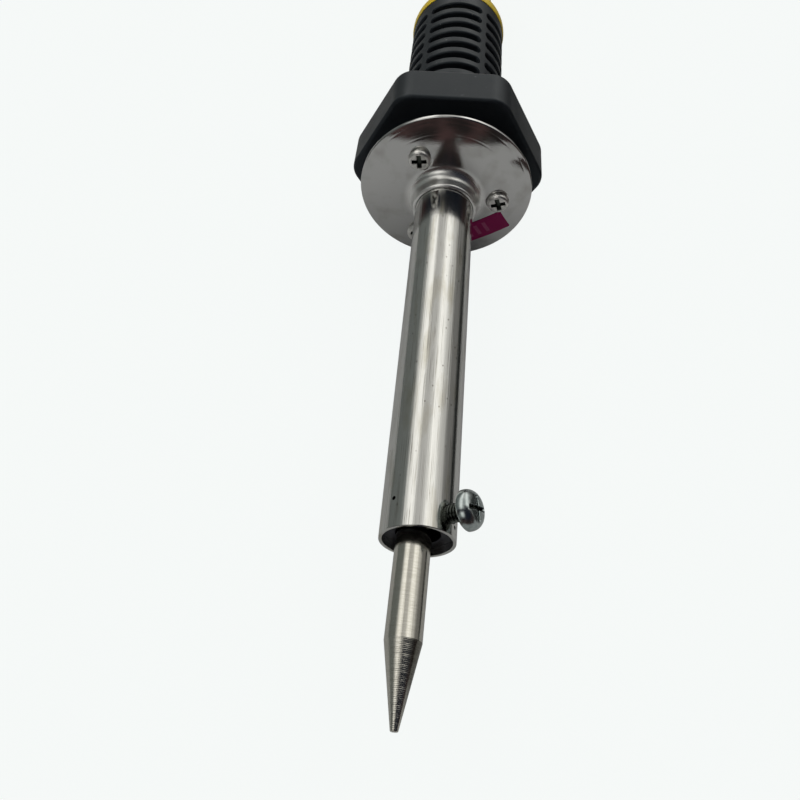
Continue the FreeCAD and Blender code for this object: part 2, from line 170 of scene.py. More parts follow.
def lathe(name, profile, place, steps=256, shape=None):
    """Turns (radius, station) points round the Y axis of place. A profile that starts and ends
    on the axis is a solid bar; any other is closed into a ring. shape may move a point, given
    its radius, station and angle."""
    vertices = []
    rings = []
    for r, s in profile:
        ring = []
        for k in range(1 if r < 1e-6 else steps):
            a = 2 * math.pi * k / steps
            radius, station = shape(r, s, a) if shape else (r, s)
            ring.append(len(vertices))
            vertices.append(place @ Vector((radius * math.cos(a), station, radius * math.sin(a))))
        rings.append(ring)
    if profile[0][0] > 1e-6:
        rings.append(rings[0])
    faces = []
    for first, second in zip(rings, rings[1:]):
        for k in range(steps):
            n = (k + 1) % steps
            if len(first) == 1:
                faces.append((first[0], second[k], second[n]))
            elif len(second) == 1:
                faces.append((first[k], second[0], first[n]))
            else:
                faces.append((first[k], second[k], second[n], first[n]))
    return piece_from(name, vertices, faces)


def add_mesh(name, vertices, faces):
    mesh = bpy.data.meshes.new(name)
    mesh.from_pydata(vertices, [], faces)
    made = bpy.data.objects.new(name, mesh)
    bpy.context.scene.collection.objects.link(made)
    return made


def piece_from(name, vertices, faces):
    """One closed piece, with its faces outwards."""
    piece = add_mesh(name, vertices, faces)
    piece.data.validate()
    face_outwards(piece.data)
    return piece


def face_outwards(mesh):
    """Turns the mesh inside out if its signed volume is negative."""
    mesh.calc_loop_triangles()
    points = [v.co for v in mesh.vertices]
    volume = 0.0
    for triangle in mesh.loop_triangles:
        a, b, c = (points[i] for i in triangle.vertices)
        volume += a.cross(b).dot(c)
    if volume < 0:
        mesh.flip_normals()


def finish_surface(piece, sharp=38.0):
    """Smooth shading that keeps flat faces flat and edges above the sharp angle crisp."""
    piece.data.shade_smooth()
    piece.data.set_sharp_from_angle(angle=math.radians(sharp))
    weighted = piece.modifiers.new("weighted", "WEIGHTED_NORMAL")
    weighted.keep_sharp = True
    return piece


def carve(piece, cutters):
    """Takes the cutters out of the piece for good."""
    for cutter in cutters:
        cut = piece.modifiers.new("cut", "BOOLEAN")
        cut.operation = "DIFFERENCE"
        cut.solver = "EXACT"
        cut.object = cutter
    bpy.context.view_layer.update()
    seen = piece.evaluated_get(bpy.context.evaluated_depsgraph_get())
    piece.data = bpy.data.meshes.new_from_object(seen)
    piece.modifiers.clear()
    for cutter in cutters:
        bpy.data.objects.remove(cutter)
    return piece


def join(name, pieces):
    """One piece from several separate closed ones."""
    vertices = []
    faces = []
    for piece in pieces:
        base = len(vertices)
        vertices += [v.co.copy() for v in piece.data.vertices]
        faces += [[base + i for i in p.vertices] for p in piece.data.polygons]
        bpy.data.objects.remove(piece)
    return add_mesh(name, vertices, faces)


def aimed(origin, direction, side):
    """A millimetre frame at origin with its Y axis along direction and its X axis near side."""
    y = Vector(direction).normalized()
    z = Vector(side).cross(y).normalized()
    x = y.cross(z)
    turn = Matrix((x, y, z)).transposed().to_4x4()
    return Matrix.Translation(AXIS_FRAME @ Vector(origin)) @ turn @ Matrix.Scale(MM, 4)


def radial_frame(station, angle):
    """A frame on the barrel's axis whose Y axis points outwards at that angle."""
    a = math.radians(angle)
    outwards = (math.cos(a), 0, math.sin(a))
    return aimed((0, station, 0), outwards, (math.sin(a), 0, -math.cos(a)))


# ---- pieces ----
def rod_cutter(name, place, radius, start, end):
    return lathe(name, [(0, start), (radius, start), (radius, end), (0, end)], place, 48)


def make_barrel():
    lip = mouth_rounding
    corners = [
        (barrel_r, 0, lip), (barrel_r, barrel_end, lip),
        (barrel_bore_r, barrel_end, 0.1), (barrel_bore_r, 0, lip)]
    barrel = lathe("barrel_tube", soften(corners), AXIS_FRAME, 320)
    cutters = [rod_cutter("cut_screw", radial_frame(screw_station, screw_angle),
                          screw_hole_r, 5, 10)]
    for station, angle in stake_marks:
        cutters.append(rod_cutter("cut_stake", radial_frame(station, angle), stake_r, 6.6, 9))
    return finish_surface(carve(barrel, cutters), 30)


def bit_frame():
    direction = (bit_lean[0], 1, bit_lean[1])
    return aimed((bit_offset[0], 0, bit_offset[1]), direction, (1, 0, 0))


def turned_ring(r, s, a):
    """Shallow rings that a lathe tool leaves on the cone, a little uneven in depth."""
    if not bit_point + 0.1 < s < bit_cone_start - 0.05:
        return r, s
    turn = s / turning_pitch
    uneven = 0.65 + 0.35 * math.sin(turn * 1.7) * math.sin(turn * 0.37 + 1)
    wave = 0.5 - 0.5 * math.cos(2 * math.pi * turn)
    return r - turning_depth * uneven * wave, s


def make_bit():
    cone = even((bit_point_r, bit_point), (bit_r, bit_cone_start), turning_pitch / 6)
    tail = soften([(bit_r, 0, 0), (bit_r, bit_tail, 0.6), (0, bit_tail, 0)])
    profile = [(0, bit_point), (bit_point_r - 0.12, bit_point)]
    profile += [(bit_point_r, bit_point + 0.08)] + cone[2:] + [(bit_r, bit_cone_start)]
    profile += tail
    return finish_surface(lathe("bit_bar", profile, bit_frame(), 144, turned_ring), 30)


def pan_head(radius, height, rounding, top, crown):
    """The outline of a pan head from the middle of its top, domed by crown, to its underside."""
    rim = radius - rounding
    points = []
    rings = 46
    for k in range(rings + 1):
        r = rim * k / rings
        points.append((r, top - crown * (r / radius) ** 2))
    edge_top = points[-1][1]
    steps = 10
    for k in range(1, steps + 1):
        a = math.radians(90 * k / steps)
        drop = edge_top - top + height * 0.78
        points.append((rim + rounding * math.sin(a), edge_top - drop * (1 - math.cos(a))))
    points.append((radius, top - height + 0.25))
    points.append((radius - 0.25, top - height))
    return points


def bar_depth(x, z, half_length, half_width, wall):
    """How far inside a bar-shaped recess a point is: 0 outside, 1 well inside."""
    across = smoothstep(half_width, half_width - wall, abs(z))
    along = smoothstep(half_length, half_length - wall, abs(x))
    return across * along


def make_set_screw():
    """An M4 pan head screw with a helical thread and a cross recess."""
    top = screw_underhead + screw_head_h
    thread_start = screw_tip + 0.5
    long_arm, short_arm, half_width, depth = screw_recess
    turn = math.radians(screw_recess_turn)

    def shape(r, s, a):
        if s > screw_underhead + 0.4:
            x = r * math.cos(a - turn)
            z = r * math.sin(a - turn)
            slot = bar_depth(x, z, long_arm, half_width, screw_recess_wall)
            cross = bar_depth(z, x, short_arm, half_width, screw_recess_wall)
            return r, s - depth * max(slot, cross)
        if r < screw_shank_r - 1e-3 or r > screw_shank_r + 0.02:
            return r, s
        phase = (s / screw_pitch - a / (2 * math.pi)) % 1.0
        groove = smoothstep(0.0, 0.45, min(phase, 1 - phase) - 0.04)
        fade = smoothstep(thread_start - 0.4, thread_start, s)
        return r - screw_thread_depth * groove * fade, s

    head = pan_head(screw_head_r, screw_head_h, screw_head_rounding, top, screw_head_crown)
    shank = even((screw_shank_r, screw_underhead), (screw_shank_r, screw_tip + 0.3), screw_pitch / 12)
    profile = head + [(screw_shank_r + 0.3, screw_underhead)] + shank
    profile += [(screw_shank_r - 0.45, screw_tip), (0, screw_tip)]
    place = radial_frame(screw_station, screw_angle)
    return finish_surface(lathe("set_screw_m4", profile, place, 160, shape), 50)


def screw_centres():
    """X and Z of the flange screws."""
    turns = [math.radians(angle) for angle in flange_screw_angles]
    return [(flange_screw_circle * math.cos(a), flange_screw_circle * math.sin(a)) for a in turns]


def make_flange_screws():
    """Three small pan head screws with cross recesses."""
    screws = []
    length, width, depth = flange_screw_recess
    wall = flange_screw_recess_wall
    shank = flange_screw_shank
    for (centre_x, centre_z), turn in zip(screw_centres(), flange_screw_turns):
        t = math.radians(turn)
        place = aimed((centre_x, 0, centre_z), (0, -1, 0), (math.cos(t), 0, math.sin(t)))
        seat = -flange_screw_seat
        top = seat + flange_screw_head_h

        def shape(r, s, around):
            if s < seat + 0.5:
                return r, s
            x = r * math.cos(around)
            z = r * math.sin(around)
            arm = max(bar_depth(x, z, length, width, wall), bar_depth(z, x, length, width, wall))
            return r, s - arm * depth

        profile = pan_head(flange_screw_head_r, flange_screw_head_h, flange_screw_head_rounding,
                           top, flange_screw_head_crown)
        profile += [(flange_screw_r, seat), (flange_screw_r, seat - shank), (0, seat - shank)]
        screws.append(lathe("flange_screw", profile, place, 144, shape))
    return finish_surface(join("pan_screws", screws), 50)


def fillet_centre():
    """Radius and station of the centre of the hollow arc between neck and dish."""
    x = neck_r + neck_fillet
    reach = dish_r + neck_fillet
    return x, dish_centre[1] - math.sqrt(reach ** 2 - (x - dish_centre[0]) ** 2)


def fillet_slope():
    x, _ = fillet_centre()
    return math.degrees(math.asin((x - dish_centre[0]) / (dish_r + neck_fillet)))


def flange_front(r):
    """Station of the flange's front surface at a radius outside the neck."""
    x, y = fillet_centre()
    join_r = x - neck_fillet * math.sin(math.radians(fillet_slope()))
    if r < join_r:
        return y + math.sqrt(max(neck_fillet ** 2 - (x - r) ** 2, 0))
    return dish_centre[1] - math.sqrt(dish_r ** 2 - (r - dish_centre[0]) ** 2)


def pressed(r, s, a):
    """Marks of the press on the flange: two faint rings, a notched lip, and seats for the screws."""
    for ring_r, depth in press_rings:
        s += depth * math.exp(-((r - ring_r) / press_ring_width) ** 2)
    if s < neck_top + 0.5 and r < neck_r - 0.3:
        notch = lip_notch_depth * (0.5 + 0.5 * math.sin(lip_notches * a))
        s += notch * smoothstep(neck_r - 0.3, neck_r - 0.8, r)
    x = r * math.cos(a)
    z = r * math.sin(a)
    for centre_x, centre_z in screw_centres():
        away = math.hypot(x - centre_x, z - centre_z)
        sunk = smoothstep(flange_screw_head_r + 0.5, flange_screw_head_r + 0.15, away)
        if s < flange_screw_seat:
            s += (flange_screw_seat - s) * sunk
    return r, s


def make_flange():
    slope = fillet_slope()
    edge = dish_edge_angle
    t = flange_thickness
    centre = fillet_centre()
    a = math.radians(edge)
    rim = (dish_centre[0] + (dish_r - rim_roll_r) * math.sin(a),
           dish_centre[1] - (dish_r - rim_roll_r) * math.cos(a))
    profile = arc((neck_r - t, neck_top + t), t, 0, 90, 10)
    profile += arc(centre, -neck_fillet, 90, slope, 14)
    profile += arc(dish_centre, dish_r, slope, edge, 90)[1:]
    profile += arc(rim, rim_roll_r, edge, 90, 8)[1:]
    profile += [(rim[0] + rim_roll_r, rim[1] + rim_land)]
    profile += arc(dish_centre, dish_r - t, edge, slope, 24)
    profile += arc(centre, -neck_fillet - t, slope, 90, 10)[1:]
    profile += [(neck_r - t, neck_top + 1.5)]
    return finish_surface(lathe("flange_dish", profile, AXIS_FRAME, 384, pressed), 40)


def make_label():
    """A thin film that follows the dish, with rounded corners."""
    length, height = label_size
    turn = math.radians(label_turn)
    columns = 64
    rows = 32
    corner = label_corner
    vertices = []
    for layer in (label_thickness, 0.0):
        for i in range(columns + 1):
            for j in range(rows + 1):
                u = (i / columns - 0.5) * length
                v = (j / rows - 0.5) * height
                over_u = max(abs(u) - (length / 2 - corner), 0)
                over_v = max(abs(v) - (height / 2 - corner), 0)
                beyond = math.hypot(over_u, over_v)
                if beyond > corner:
                    u -= math.copysign(over_u * (1 - corner / beyond), u)
                    v -= math.copysign(over_v * (1 - corner / beyond), v)
                x = label_centre[0] + u * math.cos(turn) - v * math.sin(turn)
                z = label_centre[1] + u * math.sin(turn) + v * math.cos(turn)
                station = flange_front(math.hypot(x, z)) - layer
                vertices.append(AXIS_FRAME @ Vector((x, station, z)))
    faces = []
    stride = rows + 1
    under = stride * (columns + 1)
    for i in range(columns):
        for j in range(rows):
            a = i * stride + j
            faces.append((a, a + stride, a + stride + 1, a + 1))
            faces.append((under + a, under + a + 1, under + a + stride + 1, under + a + stride))
    rim = [i * stride for i in range(columns + 1)]
    rim += [columns * stride + j for j in range(1, stride)]
    rim += [i * stride + rows for i in range(columns - 1, -1, -1)]
    rim += [j for j in range(rows - 1, 0, -1)]
    for k, a in enumerate(rim):
        b = rim[(k + 1) % len(rim)]
        faces.append((a, under + a, under + b, b))
    return finish_surface(piece_from("plain_label", vertices, faces), 50)


# ---- material helpers ----
def new_tree(name):
    made = bpy.data.materials.new(name)
    made.use_nodes = True
    tree = made.node_tree
    tree.nodes.clear()
    return made, tree


def node(tree, kind, props=None, **inputs):
    """Adds a node. An input is named with _ for a space, or in_0, in_1 by its place."""
    made = tree.nodes.new("ShaderNode" + kind)
    for key, value in (props or {}).items():
        setattr(made, key, value)
    for key, value in inputs.items():
        place = int(key[3:]) if key.startswith("in_") else key.replace("_", " ")
        socket = made.inputs[place]
        if isinstance(value, bpy.types.NodeSocket):
            tree.links.new(value, socket)
        else:
            socket.default_value = value
    return made


def coords(tree, place=AXIS_FRAME):
    """The surface point in millimetres in a piece's own frame."""
    point = node(tree, "TexCoord").outputs["Object"]
    location, turn, scale = place.decompose()
    mapping = node(tree, "Mapping", {"vector_type": "TEXTURE"}, Vector=point)
    mapping.inputs["Location"].default_value = location
    mapping.inputs["Rotation"].default_value = turn.to_euler()
    mapping.inputs["Scale"].default_value = scale
    return mapping.outputs["Vector"]


def stretched(tree, vector, x, y, z):
    scaled = node(tree, "VectorMath", {"operation": "MULTIPLY"}, in_0=vector, in_1=(x, y, z))
    return scaled.outputs["Vector"]


def noise(tree, vector, scale, detail=3.0, rough=0.5):
    made = node(tree, "TexNoise", Vector=vector, Scale=scale, Detail=detail, Roughness=rough)
    return made.outputs["Fac"]


def span(tree, value, low, high, to_low=0.0, to_high=1.0):
    made = node(tree, "MapRange", {"clamp": True}, Value=value)
    for key, number in (("From Min", low), ("From Max", high), ("To Min", to_low), ("To Max", to_high)):
        made.inputs[key].default_value = number
    return made.outputs["Result"]


def maths(tree, operation, a, b=0.0):
    return node(tree, "Math", {"operation": operation}, in_0=a, in_1=b).outputs["Value"]


def mixed(tree, factor, a, b):
    """Between two colours; each is a colour or a socket."""
    made = node(tree, "Mix", {"data_type": "RGBA"})
    for socket, value in ((made.inputs[0], factor), (made.inputs[6], a), (made.inputs[7], b)):
        if isinstance(value, bpy.types.NodeSocket):
            tree.links.new(value, socket)
        elif isinstance(value, (int, float)):
            socket.default_value = value
        else:
            socket.default_value = (*value, 1.0)
    return made.outputs[2]


def bumped(tree, height, distance):
    """A normal from a height; the distance is in millimetres."""
    return node(tree, "Bump", Height=height, Distance=distance * MM).outputs["Normal"]


def surface(made, tree, constants, **linked):
    """The one Principled shader: constants on its own sockets, and what varies linked in."""
    shader = node(tree, "BsdfPrincipled")
    for key, value in constants.items():
        shader.inputs[key].default_value = value
    for key, value in linked.items():
        tree.links.new(value, shader.inputs[key.replace("_", " ")])
    output = node(tree, "OutputMaterial")
    tree.links.new(shader.outputs[0], output.inputs["Surface"])
    return made


# ---- materials ----
def barrel_chrome():
    """Polished chrome: long fine scratches, brown smudges from heat, and pits."""
    made, tree = new_tree("barrel_chrome_finish")
    at = coords(tree)
    streaks = noise(tree, stretched(tree, at, 2.4, 0.02, 2.4), 1.0, 5.0, 0.6)
    hairs = noise(tree, stretched(tree, at, 9.0, 0.05, 9.0), 1.0, 2.0)
    smudge = span(tree, noise(tree, stretched(tree, at, 0.35, 0.07, 0.35), 1.0, 4.0), 0.52, 0.78)
    pits = node(tree, "TexVoronoi", Vector=stretched(tree, at, 1.0, 0.6, 1.0), Scale=0.55)
    pit = span(tree, pits.outputs["Distance"], 0.06, 0.10, 1.0, 0.0)
    heat = mixed(tree, smudge, (0.61, 0.61, 0.59), (0.45, 0.43, 0.36))
    lines = span(tree, noise(tree, stretched(tree, at, 7.0, 0.035, 7.0), 1.0, 3.0, 0.6), 0.54, 0.66)
    rubbed = span(tree, noise(tree, stretched(tree, at, 0.6, 0.12, 0.6), 1.0, 3.0), 0.42, 0.58)
    worn = maths(tree, "MULTIPLY", maths(tree, "MULTIPLY", lines, rubbed), 0.8)
    heat = mixed(tree, worn, heat, (0.22, 0.21, 0.18))
    colour = mixed(tree, maths(tree, "MULTIPLY", pit, 0.8), heat, (0.16, 0.14, 0.12))
    rough = maths(tree, "ADD", span(tree, streaks, 0.35, 0.75, 0.07, 0.17),
                  maths(tree, "MULTIPLY", smudge, 0.10))
    height = maths(tree, "ADD", maths(tree, "MULTIPLY", hairs, 0.35), streaks)
    normal = bumped(tree, height, 0.018)
    return surface(made, tree, {"Metallic": 1.0}, Base_Color=colour, Roughness=rough, Normal=normal)


def flange_chrome():
    """Pressed and polished steel: faint rings, a few rubbed patches, and a duller drawn neck whose colour
    is made lighter as a painted highlight.
    """
    made, tree = new_tree("flange_chrome_finish")
    at = coords(tree)
    flat = stretched(tree, at, 1.0, 0.0, 1.0)
    radius = node(tree, "VectorMath", {"operation": "LENGTH"}, in_0=flat).outputs["Value"]
    rings = node(tree, "CombineXYZ", X=radius).outputs["Vector"]
    spun = noise(tree, rings, 5.0, 4.0, 0.7)
    rubbed = span(tree, noise(tree, at, 0.22, 4.0), 0.50, 0.72)
    scratch = noise(tree, stretched(tree, at, 0.6, 0.6, 6.0), 1.0, 3.0)
    colour = mixed(tree, rubbed, (0.60, 0.60, 0.595), (0.50, 0.495, 0.48))
    # painted highlight: the neck and the inner part of its hollow arc get a lighter colour so that they
    # look brighter
    painted_neck_highlight = span(tree, radius, neck_r + 0.6, neck_r + neck_fillet, 1.0, 0.0)
    colour = mixed(tree, painted_neck_highlight, colour, (0.82, 0.82, 0.80))
    drawn = span(tree, radius, neck_r + 0.6, neck_r + neck_fillet + 0.6, 0.24, 0.0)
    rough = maths(tree, "ADD", span(tree, spun, 0.3, 0.8, 0.06, 0.10),
                  maths(tree, "MULTIPLY", rubbed, 0.06))
    rough = maths(tree, "ADD", rough, drawn)
    height = maths(tree, "ADD", maths(tree, "MULTIPLY", scratch, 0.5), spun)
    normal = bumped(tree, height, 0.006)
    return surface(made, tree, {"Metallic": 1.0}, Base_Color=colour, Roughness=rough, Normal=normal)


def bit_plating():
    """Nickel plating: fine lengthways polish on the bar; turned rings on the cone, and a painted dark
    reflection of the shade under the bit on the cone's right side.
    """
    made, tree = new_tree("bit_plating_finish")
    at = coords(tree, bit_frame())
    station = node(tree, "SeparateXYZ", Vector=at).outputs["Y"]
    on_cone = span(tree, station, bit_cone_start - 0.05, bit_cone_start + 0.05, 1.0, 0.0)
    polish = noise(tree, stretched(tree, at, 6.0, 0.1, 6.0), 1.0, 3.0)
    rings = noise(tree, stretched(tree, at, 0.35, 5.0, 0.35), 1.0, 4.0, 0.7)
    grain = noise(tree, at, 7.0, 2.0)
    colour = mixed(tree, span(tree, rings, 0.3, 0.75), (0.50, 0.485, 0.43), (0.66, 0.645, 0.59))
    # painted dark reflection: the right side of the cone is darkened to stand for the shaded floor it
    # reflects
    side = span(tree, node(tree, "SeparateXYZ", Vector=at).outputs["X"], 0.9, 2.1)
    painted_dark_reflection = maths(tree, "MULTIPLY", maths(tree, "MULTIPLY", side, on_cone),
                 span(tree, rings, 0.3, 0.6, 1.0, 0.75))
    colour = mixed(tree, painted_dark_reflection, colour, (0.10, 0.095, 0.08))
    rough = maths(tree, "ADD", span(tree, grain, 0.3, 0.7, 0.11, 0.19),
                  maths(tree, "MULTIPLY", on_cone, 0.03))
    height = mixed(tree, on_cone, (0, 0, 0), (1, 1, 1))
    lines = maths(tree, "MULTIPLY", rings, height)
    normal = bumped(tree, maths(tree, "ADD", lines, maths(tree, "MULTIPLY", polish, 0.6)), 0.02)
    return surface(made, tree, {"Metallic": 1.0}, Base_Color=colour, Roughness=rough, Normal=normal)


def recess_shade(tree, at, centres, reach, start, end):
    """Painted shade deep in a recess: close to one of the (x, z) centres, and past
    the start station towards the end station."""
    station = node(tree, "SeparateXYZ", Vector=at).outputs["Y"]
    near = None
    for x, z in centres:
        off = node(tree, "VectorMath", {"operation": "SUBTRACT"}, in_0=at, in_1=(x, 0, z))
        flat = stretched(tree, off.outputs["Vector"], 1.0, 0.0, 1.0)
        away = node(tree, "VectorMath", {"operation": "LENGTH"}, in_0=flat).outputs["Value"]
        near = away if near is None else maths(tree, "MINIMUM", near, away)
    inside = span(tree, near, reach - 0.1, reach, 1.0, 0.0)
    return maths(tree, "MULTIPLY", inside, span(tree, station, start, end))


def plated(name, light, dark, roughness, place=AXIS_FRAME, scale=1.2, recess=None):
    """Plated steel with slight cloudiness and fine grain, and painted shade in a recess."""
    made, tree = new_tree(name)
    at = coords(tree, place)
    cloud = span(tree, noise(tree, at, scale, 4.0), 0.35, 0.7)
    grain = noise(tree, at, scale * 9, 3.0)
    colour = mixed(tree, cloud, light, dark)
    if recess:
        # painted shade: the bottom of the recess is darkened for the shade that falls there
        colour = mixed(tree, recess_shade(tree, at, *recess), colour, (0.095, 0.105, 0.095))
    rough = span(tree, grain, 0.3, 0.7, roughness * 0.75, roughness * 1.3)
    normal = bumped(tree, grain, 0.008)
    return surface(made, tree, {"Metallic": 1.0}, Base_Color=colour, Roughness=rough, Normal=normal)


def moulded(name, base, worn, roughness, grain_depth=0.02, scuffs=True, coat=0.0):
    """Moulded plastic: a fine texture, uneven gloss, and a few small rubbed arcs."""
    made, tree = new_tree(name)
    at = coords(tree)
    grain = noise(tree, at, 4.5, 4.0, 0.6)
    flow = noise(tree, at, 0.12, 3.0)
    colour = mixed(tree, span(tree, flow, 0.3, 0.7), base, tuple(c * 1.15 for c in base))
    rough = span(tree, flow, 0.3, 0.7, roughness * 0.9, roughness * 1.12)
    if scuffs:
        bent = node(tree, "VectorMath", {"operation": "ADD"}, in_0=at)
        wander = node(tree, "TexNoise", Vector=at, Scale=0.25, Detail=2.0).outputs["Color"]
        tree.links.new(stretched(tree, wander, 6.0, 6.0, 6.0), bent.inputs[1])
        cells = node(tree, "TexVoronoi", {"feature": "DISTANCE_TO_EDGE"},
                     Vector=bent.outputs["Vector"], Scale=0.16)
        line = span(tree, cells.outputs["Distance"], 0.006, 0.018, 1.0, 0.0)
        patches = span(tree, noise(tree, at, 0.45, 2.0), 0.65, 0.70)
        scuff = maths(tree, "MULTIPLY", line, patches)
        colour = mixed(tree, scuff, colour, worn)
    normal = bumped(tree, grain, grain_depth)
    return surface(made, tree, {"Coat Weight": coat, "Coat Roughness": 0.25,
                                "Specular IOR Level": 0.36, "Specular Tint": (0.80, 0.93, 1.0, 1.0)},
                   Base_Color=colour, Roughness=rough, Normal=normal)


def mineral(name, light, dark, roughness, scale, depth=0.03):
    """Unpolished ceramic, mica, fibre or bakelite: two mixed tones with a grain."""
    made, tree = new_tree(name)
    at = coords(tree)
    fleck = noise(tree, at, scale, 6.0, 0.65)
    colour = mixed(tree, span(tree, fleck, 0.35, 0.65), light, dark)
    rough = span(tree, fleck, 0.3, 0.7, roughness * 0.85, roughness * 1.15)
    normal = bumped(tree, fleck, depth)
    return surface(made, tree, {}, Base_Color=colour, Roughness=rough, Normal=normal)


def braided(name, light, dark, across, roughness):
    """Woven sleeving: two crossing wave patterns along the lead."""
    made, tree = new_tree(name)
    at = coords(tree)
    waves = []
    for x, y in ((across, across), (across, -across)):
        turned = stretched(tree, at, x, y, x)
        wave = node(tree, "TexWave", {"bands_direction": "DIAGONAL"}, Vector=turned, Scale=0.5)
        waves.append(wave.outputs["Fac"])
    weave = maths(tree, "MAXIMUM", waves[0], waves[1])
    colour = mixed(tree, weave, dark, light)
    normal = bumped(tree, weave, 0.05)
    rough = span(tree, weave, 0.0, 1.0, roughness * 1.1, roughness * 0.85)
    return surface(made, tree, {}, Base_Color=colour, Roughness=rough, Normal=normal)


def label_film():
    """Printed film: magenta with a few pale bars, no lettering."""
    made, tree = new_tree("label_film_finish")
    turn = math.radians(label_turn)
    centre = (label_centre[0], neck_top, label_centre[1])
    place = aimed(centre, (0, 1, 0), (math.cos(turn), 0, math.sin(turn)))
    at = node(tree, "SeparateXYZ", Vector=coords(tree, place))
    bars = None
    low, high = label_bar_span
    for middle in label_bars:
        beside = maths(tree, "ABSOLUTE", maths(tree, "SUBTRACT", at.outputs["X"], middle))
        across = span(tree, beside, 0.45, 0.62, 1.0, 0.0)
        off_middle = maths(tree, "SUBTRACT", at.outputs["Z"], (low + high) / 2)
        along = span(tree, maths(tree, "ABSOLUTE", off_middle), (high - low) / 2 - 0.1,
                     (high - low) / 2 + 0.1, 1.0, 0.0)
        bar = maths(tree, "MULTIPLY", across, along)
        bars = bar if bars is None else maths(tree, "MAXIMUM", bars, bar)
    ink = noise(tree, coords(tree), 3.0, 4.0)
    ground = mixed(tree, span(tree, ink, 0.3, 0.7), (0.27, 0.003, 0.085), (0.33, 0.006, 0.115))
    faded = maths(tree, "MULTIPLY", bars, span(tree, ink, 0.3, 0.7, 0.35, 0.6))
    colour = mixed(tree, faded, ground, (0.50, 0.16, 0.28))
    rough = span(tree, ink, 0.3, 0.7, 0.42, 0.55)
    normal = bumped(tree, ink, 0.01)
    return surface(made, tree, {"Specular IOR Level": 0.15},
                   Base_Color=colour, Roughness=rough, Normal=normal)


def make_finishes():
    """One material for each slot of the record."""
    screw_place = radial_frame(screw_station, screw_angle)
    screw_top = screw_underhead + screw_head_h
    # painted shade in the set screw's recess and in the cross recesses of the flange screws
    screw_recess_shade = (((0, 0),), screw_recess[0], screw_top - 0.4, screw_top - 0.75)
    heads = flange_screw_seat - flange_screw_head_h
    head_recess_shade = (screw_centres(), flange_screw_recess[0] + 0.1, heads + 0.2, heads + 0.45)
    black = (0.0135, 0.0160, 0.0205)
    return {
        "bit_plating": bit_plating(),
        "zinc_steel": plated("zinc_finish", (0.50, 0.545, 0.54), (0.34, 0.39, 0.39), 0.2,
                             screw_place, recess=screw_recess_shade),
        "barrel_chrome": barrel_chrome(),
        "collar_steel": plated("collar_finish", (0.035, 0.036, 0.048), (0.02, 0.02, 0.026), 0.38),
        "core_steel": plated("core_finish", (0.34, 0.31, 0.28), (0.2, 0.17, 0.15), 0.45),
        "mica": mineral("mica_finish", (0.55, 0.44, 0.28), (0.36, 0.27, 0.16), 0.35, 0.8),
        "winding_wire": plated("wire_finish", (0.30, 0.28, 0.26), (0.17, 0.15, 0.14), 0.4),
        "ceramic": mineral("ceramic_finish", (0.82, 0.79, 0.72), (0.70, 0.66, 0.58), 0.7, 1.5),
        "flange_chrome": flange_chrome(),
        "screw_nickel": plated("nickel_finish", (0.84, 0.83, 0.80), (0.72, 0.71, 0.68), 0.34,
                               recess=head_recess_shade),
        "label_magenta": label_film(),
        "washer_fibre": mineral("fibre_finish", (0.27, 0.24, 0.20), (0.17, 0.15, 0.12), 0.85, 1.2, 0.08),
        "guard_black": moulded("guard_finish", black, (0.13, 0.135, 0.14), 0.42),
        "sleeve_black": braided("sleeve_finish", (0.03, 0.028, 0.026), (0.008, 0.008, 0.008), 2.2, 0.6),
        "bakelite": mineral("bakelite_finish", (0.085, 0.040, 0.024), (0.05, 0.022, 0.014), 0.35, 0.7),
        "brass": plated("brass_finish", (0.62, 0.45, 0.18), (0.45, 0.31, 0.12), 0.3),
        "earth_sleeve": mineral("earth_finish", (0.20, 0.42, 0.05), (0.15, 0.33, 0.04), 0.4, 0.5, 0.01),
        "grip_yellow": moulded("grip_finish", (1.0, 0.72, 0.03), (0.9, 0.75, 0.4), 0.3, 0.012, False, 0.3),
        "cap_black": moulded("cap_finish", black, (0.13, 0.135, 0.14), 0.45),
    }


# ---- putting it together ----
def fit_piece(piece, body, slot, finish, *nodes):
    piece.data.materials.clear()
    piece.data.materials.append(finish)
    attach(piece, body)
    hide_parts(*nodes)


def dress():
    """Gives every CAD node its finish and adds the detailed pieces."""
    finishes = make_finishes()
    for part in frame["record"]["subparts"]:
        materials = frame["nodes"][part["node"]].data.materials
        materials.clear()
        materials.append(finishes[part["material_slot"]])
    for make, body, slot, name in (
            (make_barrel, "iron", "barrel_chrome", "barrel"),
            (make_bit, "bit", "bit_plating", "bit"),
            (make_set_screw, "set_screw", "zinc_steel", "set_screw"),
            (make_flange, "iron", "flange_chrome", "flange"),
            (make_flange_screws, "iron", "screw_nickel", "flange_screws"),
            (make_label, "iron", "label_magenta", "rating_label")):
        fit_piece(make(), body, slot, finishes[slot], name)


# ---- camera, floor and light ----
def make_camera():
    data = bpy.data.cameras.new("camera")
    data.sensor_width = 36.0
    data.lens = 33.525
    data.clip_start = 0.01
    place = (0.0020, -0.18385, 0.1656)
    camera = bpy.data.objects.new("camera", data)
    bpy.context.scene.collection.objects.link(camera)
    forward = Vector((-0.050, 0.566, -0.823)).normalized()
    right = Vector((0.996, 0.088, 0)).normalized()
    up = right.cross(forward)
    turn = Matrix((right, up, -forward)).transposed().to_4x4()
    camera.matrix_world = Matrix.Translation(place) @ turn
    bpy.context.scene.camera = camera


def quad(name, x0, x1, y0, y1, z):
    """A level sheet of the studio."""
    corners = [(x0, y0, z), (x1, y0, z), (x1, y1, z), (x0, y1, z)]
    made = add_mesh(name, corners, [(0, 1, 2, 3)])
    return made


def seen_by(thing, camera=False, diffuse=False, glossy=False, shadow=False):
    thing.visible_camera = camera
    thing.visible_diffuse = diffuse
    thing.visible_glossy = glossy
    thing.visible_transmission = camera
    thing.visible_shadow = shadow


